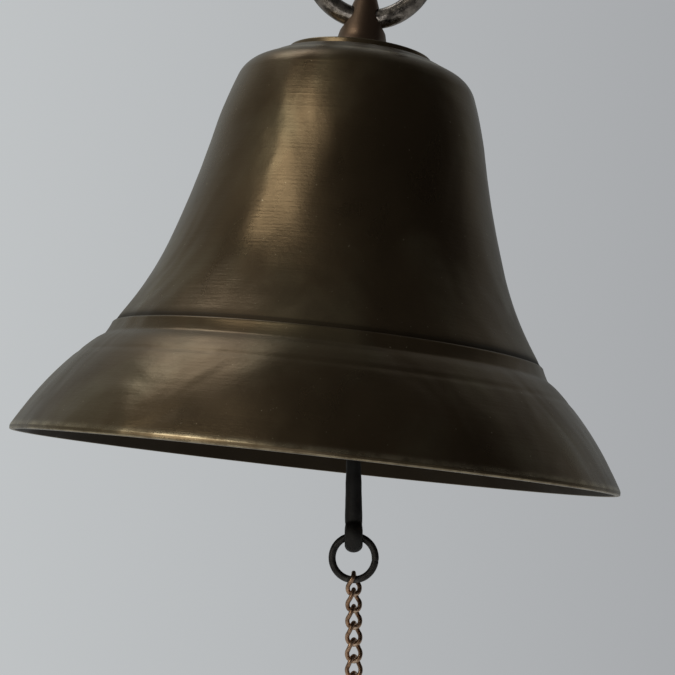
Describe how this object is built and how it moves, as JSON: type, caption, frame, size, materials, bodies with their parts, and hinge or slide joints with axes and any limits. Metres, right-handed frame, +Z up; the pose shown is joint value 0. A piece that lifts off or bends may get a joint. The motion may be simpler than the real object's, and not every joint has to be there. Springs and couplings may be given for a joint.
{
  "type": "sanctus bell",
  "caption": "Small cast bronze church bell that hangs by a tapered lug from a steel ring, with an inner clapper whose tail carries a pull ring and chain.",
  "frame": {"origin": "top of the hanging ring's inner edge, where the ring bears on its hook", "axes": "+Z up against gravity; the hanging ring stands in the XZ plane and the bell's top leans towards +X; -Y is the side seen"},
  "size_m": [0.1989, 0.2, 0.372],
  "materials": {
    "ring_steel": "dark polished steel",
    "bell_bronze": "cast bronze with a dark brown patina, rubbed to a soft shine",
    "lug_bronze": "brown bronze, satin",
    "red_fibre": "red vulcanised fibre, matt",
    "inner_steel": "dull plain steel",
    "clapper_iron": "near black forged iron, oiled",
    "small_ring_iron": "near black iron wire, satin",
    "chain_brass": "brown tarnished brass wire with bright worn edges"
  },
  "bodies": {
    "hanging_ring": {"hanging_ring": "ring_steel"},
    "bell": {"bell_shell": "bell_bronze", "crown_lug": "lug_bronze", "lug_washer": "red_fibre", "crown_washer": "inner_steel", "crown_nut": "inner_steel", "clapper_staple": "inner_steel"},
    "clapper": {"clapper_rod": "clapper_iron", "clapper_ball": "clapper_iron", "ball_pin": "clapper_iron"},
    "pull_ring": {"pull_ring": "small_ring_iron"},
    "chain_link_01": {"chain_link_01": "chain_brass"},
    "chain_link_02": {"chain_link_02": "chain_brass"},
    "chain_link_03": {"chain_link_03": "chain_brass"},
    "chain_link_04": {"chain_link_04": "chain_brass"},
    "chain_link_05": {"chain_link_05": "chain_brass"},
    "chain_link_06": {"chain_link_06": "chain_brass"},
    "chain_link_07": {"chain_link_07": "chain_brass"},
    "chain_link_08": {"chain_link_08": "chain_brass"},
    "chain_link_09": {"chain_link_09": "chain_brass"},
    "chain_link_10": {"chain_link_10": "chain_brass"},
    "chain_link_11": {"chain_link_11": "chain_brass"},
    "chain_link_12": {"chain_link_12": "chain_brass"},
    "chain_link_13": {"chain_link_13": "chain_brass"},
    "chain_link_14": {"chain_link_14": "chain_brass"},
    "chain_link_15": {"chain_link_15": "chain_brass"},
    "chain_link_16": {"chain_link_16": "chain_brass"},
    "chain_link_17": {"chain_link_17": "chain_brass"},
    "chain_link_18": {"chain_link_18": "chain_brass"},
    "chain_link_19": {"chain_link_19": "chain_brass"},
    "chain_link_20": {"chain_link_20": "chain_brass"},
    "chain_link_21": {"chain_link_21": "chain_brass"},
    "chain_link_22": {"chain_link_22": "chain_brass"},
    "chain_link_23": {"chain_link_23": "chain_brass"},
    "chain_link_24": {"chain_link_24": "chain_brass"},
    "end_ring": {"end_ring": "small_ring_iron"}
  },
  "joints": [
    {"name": "bell_swing", "type": "hinge", "parent": "hanging_ring", "child": "bell", "pos_m": [-0.00214, 0, -0.03538], "axis": [0.994, 0, -0.1097], "range_deg": [-45, 45]},
    {"name": "clapper_swing", "type": "hinge", "parent": "bell", "child": "clapper", "pos_m": [-0.00585, 0, -0.07415], "axis": [1, 0, 0], "range_deg": [-30, 30]},
    {"name": "pull_ring_swing", "type": "hinge", "parent": "clapper", "child": "pull_ring", "pos_m": [-0.00585, 0, -0.20868], "axis": [1, 0, 0], "range_deg": [-35, 35]},
    {"name": "chain_swing_01", "type": "hinge", "parent": "pull_ring", "child": "chain_link_01", "pos_m": [-0.00585, 0, -0.22288], "axis": [0.9962, -0.0872, 0], "range_deg": [-30, 30]},
    {"name": "chain_swing_02", "type": "hinge", "parent": "chain_link_01", "child": "chain_link_02", "pos_m": [-0.00585, 0, -0.22768], "axis": [0.9962, 0.0872, 0], "range_deg": [-25, 25]},
    {"name": "chain_swing_03", "type": "hinge", "parent": "chain_link_02", "child": "chain_link_03", "pos_m": [-0.00585, 0, -0.23143], "axis": [0.0872, 0.9962, 0], "range_deg": [-25, 25]},
    {"name": "chain_swing_04", "type": "hinge", "parent": "chain_link_03", "child": "chain_link_04", "pos_m": [-0.00585, 0, -0.23848], "axis": [-0.9962, 0.0872, 0], "range_deg": [-25, 25]},
    {"name": "chain_swing_05", "type": "hinge", "parent": "chain_link_04", "child": "chain_link_05", "pos_m": [-0.00585, 0, -0.24223], "axis": [-0.2588, -0.9659, 0], "range_deg": [-25, 25]},
    {"name": "chain_swing_06", "type": "hinge", "parent": "chain_link_05", "child": "chain_link_06", "pos_m": [-0.00585, 0, -0.24928], "axis": [0.9659, -0.2588, 0], "range_deg": [-25, 25]},
    {"name": "chain_swing_07", "type": "hinge", "parent": "chain_link_06", "child": "chain_link_07", "pos_m": [-0.00585, 0, -0.25303], "axis": [0.342, 0.9397, 0], "range_deg": [-25, 25]},
    {"name": "chain_swing_08", "type": "hinge", "parent": "chain_link_07", "child": "chain_link_08", "pos_m": [-0.00585, 0, -0.26008], "axis": [-0.9397, 0.342, 0], "range_deg": [-25, 25]},
    {"name": "chain_swing_09", "type": "hinge", "parent": "chain_link_08", "child": "chain_link_09", "pos_m": [-0.00585, 0, -0.26383], "axis": [-0.342, -0.9397, 0], "range_deg": [-25, 25]},
    {"name": "chain_swing_10", "type": "hinge", "parent": "chain_link_09", "child": "chain_link_10", "pos_m": [-0.00585, 0, -0.27088], "axis": [0.9397, -0.342, 0], "range_deg": [-25, 25]},
    {"name": "chain_swing_11", "type": "hinge", "parent": "chain_link_10", "child": "chain_link_11", "pos_m": [-0.00585, 0, -0.27463], "axis": [0.342, 0.9397, 0], "range_deg": [-25, 25]},
    {"name": "chain_swing_12", "type": "hinge", "parent": "chain_link_11", "child": "chain_link_12", "pos_m": [-0.00585, 0, -0.28168], "axis": [-0.9397, 0.342, 0], "range_deg": [-25, 25]},
    {"name": "chain_swing_13", "type": "hinge", "parent": "chain_link_12", "child": "chain_link_13", "pos_m": [-0.00585, 0, -0.28543], "axis": [-0.342, -0.9397, 0], "range_deg": [-25, 25]},
    {"name": "chain_swing_14", "type": "hinge", "parent": "chain_link_13", "child": "chain_link_14", "pos_m": [-0.00585, 0, -0.29248], "axis": [0.9397, -0.342, 0], "range_deg": [-25, 25]},
    {"name": "chain_swing_15", "type": "hinge", "parent": "chain_link_14", "child": "chain_link_15", "pos_m": [-0.00585, 0, -0.29623], "axis": [0.342, 0.9397, 0], "range_deg": [-25, 25]},
    {"name": "chain_swing_16", "type": "hinge", "parent": "chain_link_15", "child": "chain_link_16", "pos_m": [-0.00585, 0, -0.30328], "axis": [-0.9397, 0.342, 0], "range_deg": [-25, 25]},
    {"name": "chain_swing_17", "type": "hinge", "parent": "chain_link_16", "child": "chain_link_17", "pos_m": [-0.00585, 0, -0.30703], "axis": [-0.342, -0.9397, 0], "range_deg": [-25, 25]},
    {"name": "chain_swing_18", "type": "hinge", "parent": "chain_link_17", "child": "chain_link_18", "pos_m": [-0.00585, 0, -0.31408], "axis": [0.9397, -0.342, 0], "range_deg": [-25, 25]},
    {"name": "chain_swing_19", "type": "hinge", "parent": "chain_link_18", "child": "chain_link_19", "pos_m": [-0.00585, 0, -0.31783], "axis": [0.342, 0.9397, 0], "range_deg": [-25, 25]},
    {"name": "chain_swing_20", "type": "hinge", "parent": "chain_link_19", "child": "chain_link_20", "pos_m": [-0.00585, 0, -0.32488], "axis": [-0.9397, 0.342, 0], "range_deg": [-25, 25]},
    {"name": "chain_swing_21", "type": "hinge", "parent": "chain_link_20", "child": "chain_link_21", "pos_m": [-0.00585, 0, -0.32863], "axis": [-0.342, -0.9397, 0], "range_deg": [-25, 25]},
    {"name": "chain_swing_22", "type": "hinge", "parent": "chain_link_21", "child": "chain_link_22", "pos_m": [-0.00585, 0, -0.33568], "axis": [0.9397, -0.342, 0], "range_deg": [-25, 25]},
    {"name": "chain_swing_23", "type": "hinge", "parent": "chain_link_22", "child": "chain_link_23", "pos_m": [-0.00585, 0, -0.33943], "axis": [0.342, 0.9397, 0], "range_deg": [-25, 25]},
    {"name": "chain_swing_24", "type": "hinge", "parent": "chain_link_23", "child": "chain_link_24", "pos_m": [-0.00585, 0, -0.34648], "axis": [-0.9397, 0.342, 0], "range_deg": [-25, 25]},
    {"name": "end_ring_swing", "type": "hinge", "parent": "chain_link_24", "child": "end_ring", "pos_m": [-0.00585, 0, -0.34963], "axis": [0.1736, 0.9848, 0], "range_deg": [-30, 30]}
  ]
}
